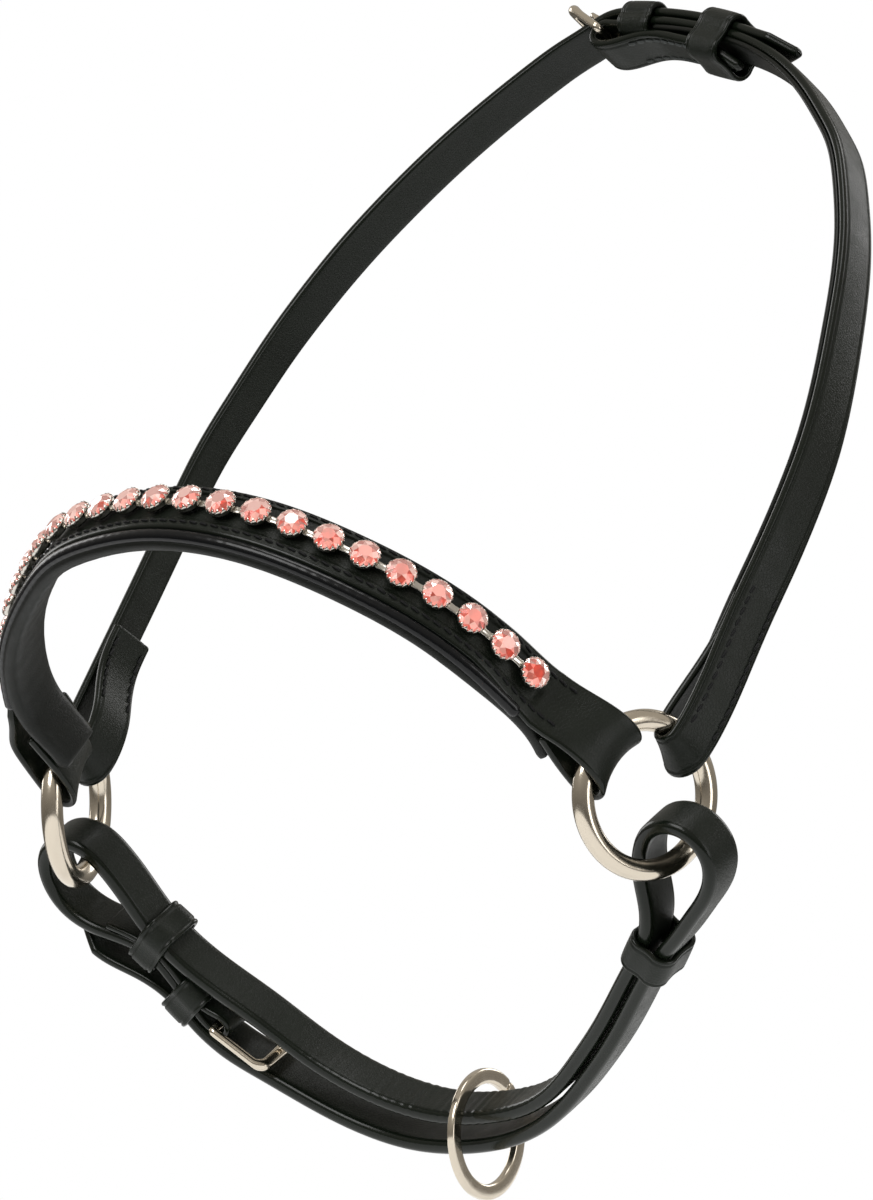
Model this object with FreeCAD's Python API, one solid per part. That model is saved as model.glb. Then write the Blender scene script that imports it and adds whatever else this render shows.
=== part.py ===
"""Leather show headcollar with crystal noseband.

Lengths in millimetres. +X is the horse's left, +Y points back towards the poll, +Z is up.
The origin is on the poll, at the middle of the crown strap's inner face.
Each of the three straps lies in a plane that contains the line through both ring centres.
In such a plane a point is (x, run): x along +X, and run is the distance from the ring line.
"""
import FreeCAD, Part
import math
import os

from FreeCAD import Vector

# ---- driving dimensions -------------------------------------------------
POLL_RUN = 237.6            # ring line to the poll, along the crown plane
CROWN_SLOPE = 57.4          # crown plane above the horizontal, running back
NOSE_SLOPE = 134.1          # noseband plane, running forward and up
CHIN_SLOPE = -58.8          # chin plane, running back and down

RING_SPACING = 207.0        # centre to centre of the side rings
RING_TOE_IN = {1: 13.0, -1: 24.0}   # the rings converge towards the nose, the right one more
RING_RADIUS = 20.0          # centre of the ring's wire
RING_WIRE = 3.0
RING_CANT = 1.5             # the left ring sits this much higher than the line, the right one lower
GAP = 0.35                  # between leather and metal that move on each other

LEATHER = 2.4               # crown leather
LINING = 1.6                # second layer of the left cheek strap
FOLD_SLACK = {1: 2.2, -1: 3.4}      # a fold reaches this much past the wire it holds
CROWN_WIDTH = 13.0
CHIN_LEATHER = 4.2
CHIN_LEG = 3.4              # the buckled leg, a little thinner
CHIN_TURNBACK = 1.8
CHIN_WIDTH = 13.0
NOSE_LEATHER = 2.2
NOSE_WIDTH = 16.0
TAB_WIDTH = 19.5            # where the noseband folds round a ring
TAB_SHIFT = -0.75
KEEPER_WALL = 1.4
KEEPER_PLAY = 0.4

FIRST_STONE = 6.5            # from the start of the noseband's line
STONE_ACROSS = 0.9           # the chain sits this far above the strip's middle
STONE_COUNT = 23
STONE_PITCH = 10.8
STONE_RADIUS = 3.7
CUP_RADIUS = 4.2
CUP_HEIGHT = 4.4

LEAD_OUTER = 17.8            # radii of the lead ring
LEAD_INNER = 13.6
LEAD_DEPTH = 2.4
STITCH_PITCH = 3.4
STITCH_WIDTH = 0.7
STITCH_HEIGHT = 0.4

NOSE_SWING = 6.0            # degrees, each way
CHIN_SWING = 10.0


# ---- frame of each strap ------------------------------------------------
class StrapPlane:
    """Plane through the ring line; `along` leads away from it and `across` is its normal."""

    def __init__(self, slope):
        a = math.radians(slope)
        self.along = Vector(0, math.cos(a), math.sin(a))
        sign = 1 if self.along.z > 0 else -1
        self.across = Vector(0, abs(self.along.z), -sign * self.along.y)

    def at(self, x, run, across=0.0):
        return RING_LINE + Vector(x, 0, 0) + self.along * run + self.across * across

    def turn(self, dx, drun):
        """Unit direction in the plane."""
        v = Vector(dx, 0, 0) + self.along * drun
        return v.normalize()


CROWN_DIRECTION = Vector(0, math.cos(math.radians(CROWN_SLOPE)), math.sin(math.radians(CROWN_SLOPE)))
RING_LINE = CROWN_DIRECTION * -POLL_RUN
crown = StrapPlane(CROWN_SLOPE)
nose = StrapPlane(NOSE_SLOPE)
chin = StrapPlane(CHIN_SLOPE)


def wire_crossing(plane, side):
    """(x, run) where a ring's wire passes through a strap plane."""
    toe = math.radians(RING_TOE_IN[side])
    back = plane.along.y / plane.along.z / math.cos(toe)
    height = RING_RADIUS / math.sqrt(1 + back * back)
    height = math.copysign(height, plane.along.z)
    x = RING_SPACING / 2 + math.sin(toe) * back * height
    return side * x, height / plane.along.z


# ---- curves and bands ---------------------------------------------------
def smooth(points):
    curve = Part.BSplineCurve()
    curve.interpolate([Vector(*p) for p in points])
    return curve


def samples(points, halves):
    """Points, unit normals and half thicknesses along a smooth line through `points`."""
    flat = [(x, run, 0) for x, run in points]
    curve = smooth(flat)
    count = 5 * (len(points) - 1)
    first = curve.FirstParameter
    last = curve.LastParameter
    knots = [curve.parameter(Vector(*p)) for p in flat]
    out = []
    for i in range(count + 1):
        u = first + (last - first) * i / count
        k = max(j for j in range(len(knots) - 1) if knots[j] <= u + 1e-9 or j == 0)
        share = (u - knots[k]) / (knots[k + 1] - knots[k])
        half = halves[k] + (halves[k + 1] - halves[k]) * min(1, max(0, share))
        tangent = curve.tangent(u)[0]
        out.append((curve.value(u), Vector(-tangent.y, tangent.x, 0), half))
    return out


def band(plane, points, thick, width, shift=0.0, offset=0.0):
    """Leather strip: a thick line in the plane, extruded by its width.

    `offset` moves it sideways in the plane and `shift` moves it across the plane.
    """
    halves = thick if isinstance(thick, list) else [thick] * len(points)
    line = samples(points, [t / 2 for t in halves])
    low = shift - width / 2
    sides = []
    for sign in (1, -1):
        side = []
        for p, normal, half in line:
            q = p + normal * (offset + sign * half)
            side.append(plane.at(q.x, q.y, low))
        sides.append(side)
    edges = [smooth([tuple(v) for v in side]).toShape() for side in sides]
    edges.append(Part.makeLine(sides[0][0], sides[1][0]))
    edges.append(Part.makeLine(sides[0][-1], sides[1][-1]))
    outline = Part.Wire(Part.__sortEdges__(edges))
    return Part.Face(outline).extrude(plane.across * width)


def wrap(centre, radius, start, end, steps=4):
    """Points on an arc around a bar, from one angle to the other in degrees."""
    out = []
    for i in range(steps + 1):
        a = math.radians(start + (end - start) * i / steps)
        out.append((centre[0] + radius * math.cos(a), centre[1] + radius * math.sin(a)))
    return out


def block(origin, e1, e2, e3, low, high):
    """Box between two corners in a local frame of three unit directions."""
    c = origin + e1 * low[0] + e2 * low[1] + e3 * low[2]
    a = e1 * (high[0] - low[0])
    b = e2 * (high[1] - low[1])
    base = Part.Face(Part.makePolygon([c, c + a, c + a + b, c + b, c]))
    return base.extrude(e3 * (high[2] - low[2]))


def ring_torus(side, tube):
    toe = math.radians(RING_TOE_IN[side])
    axis = Vector(side * math.cos(toe), -math.sin(toe), 0)
    centre = RING_LINE + Vector(side * RING_SPACING / 2, 0, side * RING_CANT)
    return Part.makeTorus(RING_RADIUS, tube, centre, axis)


def clear_of_ring(shape, side, swing=0.0):
    """Cut the wire's way through a fold, over the whole swing of the strap."""
    turns = [0.0] if swing == 0 else [-swing, -swing / 2, 0.0, swing / 2, swing]
    for angle in turns:
        cutter = ring_torus(side, RING_WIRE + GAP)
        cutter.rotate(RING_LINE, Vector(1, 0, 0), angle)
        shape = shape.cut(cutter)
    return shape


def biggest(shape):
    return max(shape.Solids, key=lambda s: s.Volume)


def save(name, shape):
    if not shape.isValid():
        print("NOT VALID", name)
    box = shape.BoundBox
    print("%-24s solids %3d volume %9.1f box %s" % (
        name, len(shape.Solids), shape.Volume,
        [round(v, 1) for v in (box.XMin, box.YMin, box.ZMin, box.XMax, box.YMax, box.ZMax)]))
    shape.exportStep("parts/%s.step" % name)


# ---- crown strap --------------------------------------------------------
CROWN_LEFT = [(112.8, 60), (113.4, 75), (113.5, 92), (112.2, 111), (108.9, 128.5), (103.6, 148), (99.2, 162),
              (93.2, 177.3), (84.6, 193.7), (75.6, 207), (66.8, 215.6), (58, 223.2), (47.2, 230.8)]
CROWN_BAR = (-25.8, 242.4)          # the buckle's hinge bar
CROWN_END_BAR = (-38.2, 248.6)
BAR_RADIUS = 1.5
BAR_WRAP = BAR_RADIUS + GAP + 0.15 + LEATHER / 2


def fold_points(plane, side, half, start, end):
    """Arc round the lower side of a ring's wire, in a strap's plane."""
    x, run = wire_crossing(plane, side)
    return wrap((x, run - FOLD_SLACK[side]), RING_WIRE + GAP + half + 0.3, start, end)


def crown_left_strap():
    """Cheek strap of the left side, folded round the buckle bar and round the left ring."""
    fold = fold_points(crown, 1, LEATHER / 2, 185, 352)
    foot = [(108.6, 63), (108.2, 52), (105.6, 39), (102.4, 28)] + fold + [(112.4, 28), (112.8, 44)]
    top = [(34, 237.5), (20, 242), (4, 245), (-10, 246.2)]
    bar = wrap(CROWN_BAR, BAR_WRAP, 75, 255)
    back = [(-12, 241.5), (3, 240.3), (15, 237.7), (24, 234.6)]
    strap = band(crown, foot + CROWN_LEFT + top + bar + back, LEATHER, CROWN_WIDTH)
    tongue_slot = block(crown.at(*CROWN_BAR), Vector(1, 0, 0), crown.along, crown.across,
                        (-8, -7, -1.7), (3, 5.2, 1.7))
    return biggest(clear_of_ring(strap, 1).cut(tongue_slot))


def crown_left_lining():
    """Second layer between the cheek strap and its turned-back ends."""
    points = [(112.8, 44)] + CROWN_LEFT + [(34, 237.5), (20, 242), (4, 245), (-8, 246.1)]
    return band(crown, points, LINING, CROWN_WIDTH, offset=(LEATHER + LINING) / 2 + 0.05)


CROWN_RIGHT = [(-110.2, 92), (-108.6, 111), (-105, 127.6), (-99.8, 146.4), (-95.2, 160.2), (-89.2, 175),
               (-79.2, 190), (-69.5, 205), (-59, 219.2), (-47.8, 231), (-39.6, 238.2)]


def crown_billet_strap():
    """Right side strap: round the right ring, over the poll and through the buckle to its tip."""
    fold = fold_points(crown, -1, LEATHER / 2, 355, 188)
    foot = [(-108.4, 54), (-108.3, 43), (-106.2, 33), (-103.8, 26)] + fold + [(-113.2, 28), (-112.4, 44), (-111.2, 68)]
    top = [(-33, 243.2), (-26.5, 248), (-17, 249.3), (0, 248.3), (15, 245.8), (30, 241.8), (43.5, 238.4)]
    strap = band(crown, foot + CROWN_RIGHT + top, LEATHER, CROWN_WIDTH)
    slot = block(crown.at(*CROWN_BAR), Vector(1, 0, 0), crown.along, crown.across, (-10.5, 0, -1.9), (1, 10, 1.9))
    strap = clear_of_ring(strap, -1).cut(slot)
    tip = crown.at(43.5, 238.4)
    lead = crown.turn(0.97, -0.245)
    up = crown.turn(0.245, 0.97)
    for side in (1, -1):
        corner = block(tip + crown.across * side * CROWN_WIDTH / 2, lead, crown.across * side, up,
                       (-9, -1, -4), (9, 9, 4))
        corner.rotate(tip + crown.across * side * CROWN_WIDTH / 2 - lead * 7, up, side * 38)
        strap = strap.cut(corner)
    for x, run in ((-47, 231.8), (-62, 215.6), (-75, 196.6), (-86, 180)):
        hole = Part.makeCylinder(1.6, 10, crown.at(x, run) - crown.turn(-0.75, 0.66) * 5, crown.turn(-0.75, 0.66))
        strap = strap.cut(hole)
    return biggest(strap)


def keeper(plane, centre, lead, thick, width, length, wall=KEEPER_WALL):
    """Closed leather loop round a stack of straps; `lead` is the strap's direction there."""
    along = plane.turn(*lead)
    normal = plane.across.cross(along)
    origin = plane.at(*centre)
    a = thick / 2
    b = width / 2
    outer = block(origin, along, normal, plane.across, (-length / 2, -a - wall, -b - wall),
                  (length / 2, a + wall, b + wall))
    edges = [e for e in outer.Edges if abs(e.tangentAt(e.FirstParameter).dot(along)) > 0.99]
    outer = outer.makeFillet(1.6, edges)
    inner = block(origin, along, normal, plane.across, (-length, -a, -b), (length, a, b))
    return outer.cut(inner)


# ---- buckles ------------------------------------------------------------
def buckle_frame(plane, hinge, end, half_width):
    """Rectangular frame: thin hinge bar, two rails and a fuller end bar."""
    along = plane.turn(end[0] - hinge[0], end[1] - hinge[1])
    normal = plane.across.cross(along)
    origin = plane.at(*hinge)
    reach = math.hypot(end[0] - hinge[0], end[1] - hinge[1])
    bar = Part.makeCylinder(BAR_RADIUS, 2 * half_width, origin - plane.across * half_width, plane.across)
    outer = block(origin, along, normal, plane.across, (-1.5, -1.3, -half_width - 2.4),
                  (reach + 1.9, 1.3, half_width + 2.4))
    edges = [e for e in outer.Edges if abs(e.tangentAt(e.FirstParameter).dot(normal)) > 0.99]
    outer = outer.makeFillet(2.6, edges)
    inner = block(origin, along, normal, plane.across, (-4, -3, -half_width), (reach - 1.9, 3, half_width))
    frame = outer.cut(inner)
    return frame.fuse(bar)


def buckle_tongue(plane, hinge, end, up_sign):
    """Pin of the buckle: a loop round the hinge bar and a straight prong over the end bar."""
    along = plane.turn(end[0] - hinge[0], end[1] - hinge[1])
    normal = plane.across.cross(along) * up_sign
    origin = plane.at(*hinge)
    reach = math.hypot(end[0] - hinge[0], end[1] - hinge[1])
    half = 1.1
    loop = Part.makeCylinder(BAR_RADIUS + 1.4, 2 * half, origin - plane.across * half, plane.across)
    start = origin + normal * (BAR_RADIUS + 0.95)
    rest = origin + along * (reach + 1.6) + normal * (1.3 + 0.95 + GAP)
    path = rest - start
    prong = Part.makeCylinder(0.95, path.Length, start, path)
    tongue = loop.fuse(prong)
    return tongue.cut(Part.makeCylinder(BAR_RADIUS + GAP, 4 * half, origin - plane.across * 2 * half, plane.across))


# ---- noseband -----------------------------------------------------------
NOSE_LINE = [(91.9, 39.3), (86.7, 53.5), (78.1, 68.4), (66, 81), (54.2, 90), (33, 101.8), (16, 106.8),
             (0, 108.2), (-21.8, 105.4), (-33.6, 102.2), (-44.5, 97.6), (-54.8, 90.8), (-66.4, 81.3),
             (-76.4, 71.6), (-84, 62.2), (-90.2, 51.2), (-94.4, 41.4)]


def noseband_strap():
    """Outer strip, folded inwards round both rings, with wider tabs at the folds."""
    half = NOSE_LEATHER / 2
    start = [(93.2, 33), (93.9, 26)] + fold_points(nose, 1, half, 185, 355) + [(104.2, 23.5), (100.4, 29), (95.6, 34)]
    finish = [(-97.2, 35.6), (-100.9, 29.4), (-102.3, 23.2)] + fold_points(nose, -1, half, 185, 355)
    finish += [(-92.9, 26), (-93.6, 31.6)]
    strap = band(nose, start + NOSE_LINE + finish, NOSE_LEATHER, TAB_WIDTH, shift=TAB_SHIFT)
    low = TAB_SHIFT - TAB_WIDTH / 2
    for edge, outside in ((NOSE_WIDTH / 2, low + TAB_WIDTH + 1), (low - 1, -NOSE_WIDTH / 2)):
        waste = block(nose.at(0, 0), Vector(1, 0, 0), nose.along, nose.across, (-92, 45, edge), (88, 130, outside))
        strap = strap.cut(waste)
    strap = clear_of_ring(strap, 1, NOSE_SWING)
    return biggest(clear_of_ring(strap, -1, NOSE_SWING))


def nose_layer(depth, thick, width, shift):
    """Layer under the outer strip; depth is its centre below the strip's centre."""
    points = [(92.6, 27), (92.7, 33)] + NOSE_LINE[1:-1] + [(-93.8, 35), (-91.8, 28)]
    return band(nose, points, thick, width, shift=shift, offset=depth)


def along(plane, line, distances):
    """Frames (point, direction, outward normal) at distances along a strap's line."""
    curve = smooth([(x, run, 0) for x, run in line])
    start = curve.FirstParameter
    out = []
    for d in distances:
        u = curve.parameterAtDistance(d, start)
        p = curve.value(u)
        t = curve.tangent(u)[0]
        out.append(((p.x, p.y), plane.turn(t.x, t.y), plane.turn(t.y, -t.x)))
    return out


def stone_frames():
    return along(nose, NOSE_LINE, [FIRST_STONE + STONE_PITCH * i for i in range(STONE_COUNT)])


def cut_stone(base, out, ease=0.0):
    """Stone with its widest part between the pavilion below and the crown above."""
    depth = CUP_HEIGHT - 1.75
    girdle = STONE_RADIUS + ease
    pavilion = Part.makeCone(1.1 + ease, girdle, depth, base, out)
    return pavilion.fuse(Part.makeCone(girdle, girdle * 0.6, 1.5, base + out * depth, out))


def crystal_cups():
    cups = []
    for (x, run), _, out in stone_frames():
        base = nose.at(x, run, STONE_ACROSS) + out * (NOSE_LEATHER / 2 + 0.3)
        cup = Part.makeCylinder(CUP_RADIUS, CUP_HEIGHT - 1.2, base, out)
        cups.append(cup.cut(cut_stone(base + out * 0.5, out, ease=0.12)))
    return Part.makeCompound(cups)


def crystal_stones():
    frames = stone_frames()
    lift = NOSE_LEATHER / 2 + 0.85
    return Part.makeCompound([cut_stone(nose.at(x, run, STONE_ACROSS) + out * lift, out) for (x, run), _, out in frames])


def crystal_links():
    links = []
    gaps = [FIRST_STONE + STONE_PITCH * (i + 0.5) for i in range(STONE_COUNT - 1)]
    half = STONE_PITCH / 2 - CUP_RADIUS - 0.05
    for (x, run), lead, out in along(nose, NOSE_LINE, gaps):
        base = nose.at(x, run, STONE_ACROSS) + out * (NOSE_LEATHER / 2 + 0.5)
        links.append(block(base, lead, out, nose.across, (-half, 0, -1.3), (half, 0.6, 1.3)))
    return Part.makeCompound(links)


def stitches(plane, line, first, count, across, lift):
    """Rows of thread stitches lying on a strap's face."""
    rows = []
    half = STITCH_PITCH * 0.36
    low = (-half, 0, -STITCH_WIDTH / 2)
    high = (half, STITCH_HEIGHT, STITCH_WIDTH / 2)
    for (x, run), lead, out in along(plane, line, [first + STITCH_PITCH * i for i in range(count)]):
        for shift in across:
            base = plane.at(x, run, shift) + out * (lift + 0.25)
            rows.append(block(base, lead, out, plane.across, low, high))
    return Part.makeCompound(rows)


# ---- chin strap ---------------------------------------------------------
CHIN_BAR = (-79.5, 68.5)
CHIN_END_BAR = (-67.2, 80.4)


def chin_strap():
    """One strap: buckle, right ring, inner layer, left ring, outer layer and billet."""
    lap = BAR_RADIUS + GAP + 0.15 + CHIN_TURNBACK / 2
    back = [(-105.9, 36.9), (-100.7, 39.1), (-92.2, 45), (-87.4, 54), (-84.3, 60.8), (-80.8, 64.2)]
    bar = wrap(CHIN_BAR, lap, -48, 132)
    leg = [(-86.4, 63), (-89.9, 55.2), (-94.2, 46.9), (-102, 41.8), (-112.2, 37.8), (-119, 32), (-121.3, 24)]
    right_loop = [(-119.4, 17), (-115.4, 12.8), (-109.2, 11.2), (-103.2, 13.6), (-98.8, 20), (-96, 27)]
    inner = [(-92.6, 37), (-86.2, 48), (-66.6, 66.4), (-53.2, 79), (-42, 87), (-25.5, 94.4), (-10, 97.4),
             (4.4, 97), (20, 94.1), (33.6, 87.7), (45.7, 78.9), (56.8, 69.9), (69.2, 58.6), (78.9, 49.5),
             (87.4, 41.2)]
    left_loop = [(92.8, 31.8), (95.6, 21.2), (99.6, 12.6), (106.2, 6.4), (113, 5.2), (119.4, 8.2), (122.2, 15.4),
                 (119.2, 23.4), (108.6, 33.2)]
    outer = [(98.4, 41), (89.9, 46.9), (82.6, 53), (72.6, 62.4), (60.8, 73.2), (48.4, 83.2), (25, 98.6), (9, 104.4),
             (-10, 106.8), (-27.8, 105.6), (-51.8, 96.6), (-71, 84.6), (-81.9, 76.9), (-88.6, 68.8), (-93.4, 60.2),
             (-102, 52.8), (-112.6, 46.6), (-119, 38.4)]
    full = len(right_loop) + len(inner) + len(left_loop) + len(outer) - 9
    thick = [CHIN_TURNBACK] * (len(back) + len(bar)) + [2.2, 3.0] + [CHIN_LEG] * (len(leg) - 2)
    thick += [CHIN_LEATHER] * full + [3.9, 3.6, 3.3, 3.0] + [2.6] * 5
    strap = band(chin, back + bar + leg + right_loop + inner + left_loop + outer, thick, CHIN_WIDTH)
    lead = chin.turn(CHIN_END_BAR[0] - CHIN_BAR[0], CHIN_END_BAR[1] - CHIN_BAR[1])
    slot = block(chin.at(*CHIN_BAR), lead, chin.across.cross(lead), chin.across, (-3.5, -6, -1.7), (7, 4.0, 1.7))
    strap = strap.cut(slot)
    strap = clear_of_ring(clear_of_ring(strap, 1, CHIN_SWING), -1, CHIN_SWING)
    tip = chin.at(-119, 38.4)
    lead = chin.turn(-0.61, -0.79)
    up = chin.across.cross(lead)
    for side in (1, -1):
        pivot = tip + chin.across * side * CHIN_WIDTH / 2
        corner = block(pivot, lead, chin.across * side, up, (-9, -1, -4), (9, 9, 4))
        corner.rotate(pivot - lead * 7, up, -side * 38)
        strap = strap.cut(corner)
    return biggest(strap)


# ---- lead ring ----------------------------------------------------------
LEAD_TOP = chin.at(-3.6, 95.1, 6.4)


def lead_ring():
    """Flat ring hanging on the chin strap's upper corner."""
    yaw = math.radians(9)
    axis = Vector(math.cos(yaw), math.sin(yaw), 0)
    centre = LEAD_TOP + Vector(0, 0, GAP - LEAD_INNER + 0.9)
    start = centre - axis * (LEAD_DEPTH / 2)
    ring = Part.makeCylinder(LEAD_OUTER, LEAD_DEPTH, start, axis)
    ring = ring.cut(Part.makeCylinder(LEAD_INNER, LEAD_DEPTH, start, axis))
    return ring.makeFillet(0.9, [e for e in ring.Edges if e.Length > 20])


# ---- build --------------------------------------------------------------
def build():
    os.makedirs("parts", exist_ok=True)
    save("side_ring_left", ring_torus(1, RING_WIRE))
    save("side_ring_right", ring_torus(-1, RING_WIRE))
    left = crown_left_strap()
    save("crown_left_strap", left)
    save("crown_left_lining", crown_left_lining())
    save("crown_billet_strap", crown_billet_strap())
    save("crown_thread", stitches(crown, CROWN_LEFT, 1.5, 12, (-4.9, 4.9), LEATHER / 2))
    wide = CROWN_WIDTH + 2 * KEEPER_PLAY
    save("crown_fixed_keeper", keeper(crown, (-14.5, 244.7), (1, -0.03), 12.8, wide, 11).cut(left))
    save("crown_loose_keeper", keeper(crown, (15.2, 241.8), (1, -0.22), 12.4, wide, 12))
    save("crown_buckle_frame", buckle_frame(crown, CROWN_BAR, CROWN_END_BAR, 7.4))
    save("crown_buckle_tongue", buckle_tongue(crown, CROWN_BAR, CROWN_END_BAR, 1))
    strip = noseband_strap()
    save("noseband_strap", strip)
    save("noseband_padding", biggest(nose_layer(3.4, 3.8, NOSE_WIDTH - 3, -1.4).cut(strip)))
    save("noseband_lining", nose_layer(6.0, 1.2, NOSE_WIDTH + 3, -2.5))
    save("noseband_piping", band(nose, NOSE_LINE[1:-1], 3.4, 3.4, shift=-NOSE_WIDTH / 2 - 1.8, offset=1.6))
    save("crystal_cups", crystal_cups())
    save("crystal_stones", crystal_stones())
    save("crystal_links", crystal_links())
    save("noseband_thread", stitches(nose, NOSE_LINE, 6, 74, (-6.6, 6.9), NOSE_LEATHER / 2))
    save("chin_strap", chin_strap())
    save("chin_fixed_keeper", keeper(chin, (-88.6, 61.5), (0.54, 0.84), 11.8, wide, 9))
    save("chin_far_keeper", keeper(chin, (-92.8, 44.1), (0.62, 0.78), 13.4, wide, 8.5))
    save("chin_near_keeper", keeper(chin, (86.6, 46.4), (-0.7, 0.71), 12, wide, 11))
    save("chin_buckle_frame", buckle_frame(chin, CHIN_BAR, CHIN_END_BAR, 7.4))
    save("chin_buckle_tongue", buckle_tongue(chin, CHIN_BAR, CHIN_END_BAR, -1))
    save("lead_ring", lead_ring())


build()
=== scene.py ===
"""Black show headcollar: bridle leather, nickel-plated fittings and a cup chain of crystals."""
import math

import bpy
import numpy as np
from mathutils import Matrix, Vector


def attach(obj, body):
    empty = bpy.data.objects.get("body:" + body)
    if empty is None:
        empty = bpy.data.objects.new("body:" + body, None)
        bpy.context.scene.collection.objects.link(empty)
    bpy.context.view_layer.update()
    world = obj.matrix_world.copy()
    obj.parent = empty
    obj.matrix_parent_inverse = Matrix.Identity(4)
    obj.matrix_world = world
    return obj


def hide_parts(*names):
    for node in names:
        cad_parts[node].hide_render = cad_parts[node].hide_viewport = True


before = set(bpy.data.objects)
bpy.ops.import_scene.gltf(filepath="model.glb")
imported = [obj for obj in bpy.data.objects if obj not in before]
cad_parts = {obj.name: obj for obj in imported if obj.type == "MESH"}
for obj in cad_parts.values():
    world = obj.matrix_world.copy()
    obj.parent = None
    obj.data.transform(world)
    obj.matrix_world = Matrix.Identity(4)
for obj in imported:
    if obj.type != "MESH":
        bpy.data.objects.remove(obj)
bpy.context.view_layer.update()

MM = 0.001

# ---- sizes, in millimetres; slopes and twists in degrees ------------------
POLL_RUN = 237.6
CROWN_SLOPE = 57.4
NOSE_SLOPE = 134.1
CHIN_SLOPE = -58.8
RING_SPACING = 207.0
RING_TOE_IN = {1: math.radians(13.0), -1: math.radians(24.0)}
RING_RADIUS = 20.0
RING_WIRE = 3.0
RING_CANT = 1.5
FOLD_SLACK = {1: 1.4, -1: 3.0}
CROWN_LEATHER = 2.4
LINING_LEATHER = 1.6
CROWN_WIDTH = 13.0
LEFT_TWIST = 20
RIGHT_TWIST = 9
CHIN_LEATHER = 4.3
CHIN_LEG = 3.5
CHIN_TURNBACK = 1.8
CHIN_WIDTH = 13.0
NOSE_LEATHER = 2.2
NOSE_WIDTH = 16.0
TAB_WIDTH = 19.5
TAB_SHIFT = -0.75
RECESS = (-4.3, 5.5)
RECESS_DEPTH = 0.75
ROLL_RADIUS = 1.95
ROLL_OUTSET = 1.3
ROLL_DEPTH = 1.0
KEEPER_WALL = 1.5
KEEPER_INSIDE = CROWN_WIDTH + 0.8
BAR_LAP = 2.0
BUCKLE_HALF_WIDTH = 7.4
STONE_COUNT = 23
STONE_PITCH = 10.8
FIRST_STONE = 6.5
STONE_ACROSS = 0.9
STITCH_PITCH = 3.4

# ---- points in a curve or a section ------------------------------------
LINE_STEPS = 24
WIRE_STEPS = 720
RING_STEPS = 144
LEAD_STEPS = 160
ROLL_SIDES = 24
PAD_SIDES = 48
PAD_ROWS = 330


# ---- strap planes and smooth lines -------------------------------------
class StrapPlane:
    """Plane through the line between the ring centres; `along` leads away from that line."""

    def __init__(self, slope):
        angle = math.radians(slope)
        self.along = Vector((0, math.cos(angle), math.sin(angle)))
        sign = 1 if self.along.z > 0 else -1
        self.across = Vector((0, abs(self.along.z), -sign * self.along.y))

    def at(self, x, run, across=0.0):
        return RING_LINE + (Vector((x, 0, 0)) + self.along * run + self.across * across) * MM

    def turn(self, dx, drun):
        return (Vector((dx, 0, 0)) + self.along * drun).normalized()

    def split(self, point):
        """(x, run, across) of a point, in millimetres."""
        away = (point - RING_LINE) / MM
        return away.x, away.dot(self.along), away.dot(self.across)


crown_angle = math.radians(CROWN_SLOPE)
RING_LINE = Vector((0, math.cos(crown_angle), math.sin(crown_angle))) * (-POLL_RUN * MM)
crown = StrapPlane(CROWN_SLOPE)
nose = StrapPlane(NOSE_SLOPE)
chin = StrapPlane(CHIN_SLOPE)


def ring_frame(side):
    centre = RING_LINE + Vector((side * RING_SPACING / 2, 0, side * RING_CANT)) * MM
    ahead = Vector((side * math.sin(RING_TOE_IN[side]), math.cos(RING_TOE_IN[side]), 0))
    return centre, ahead, Vector((0, 0, 1))


def wire_in_plane(plane, side, across):
    """(x, run) of the ring's wire where it stands at this distance across a strap."""
    centre, ahead, up = ring_frame(side)
    best = None
    previous = None
    for i in range(WIRE_STEPS + 1):
        a = 2 * math.pi * i / WIRE_STEPS
        point = centre + (ahead * math.cos(a) + up * math.sin(a)) * RING_RADIUS * MM
        x, run, w = plane.split(point)
        gap = w - across
        if previous is not None and previous[2] * gap <= 0 and run > 0:
            share = previous[2] / (previous[2] - gap) if previous[2] != gap else 0
            best = (previous[0] + (x - previous[0]) * share, previous[1] + (run - previous[1]) * share)
        previous = (x, run, gap)
    return best


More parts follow.
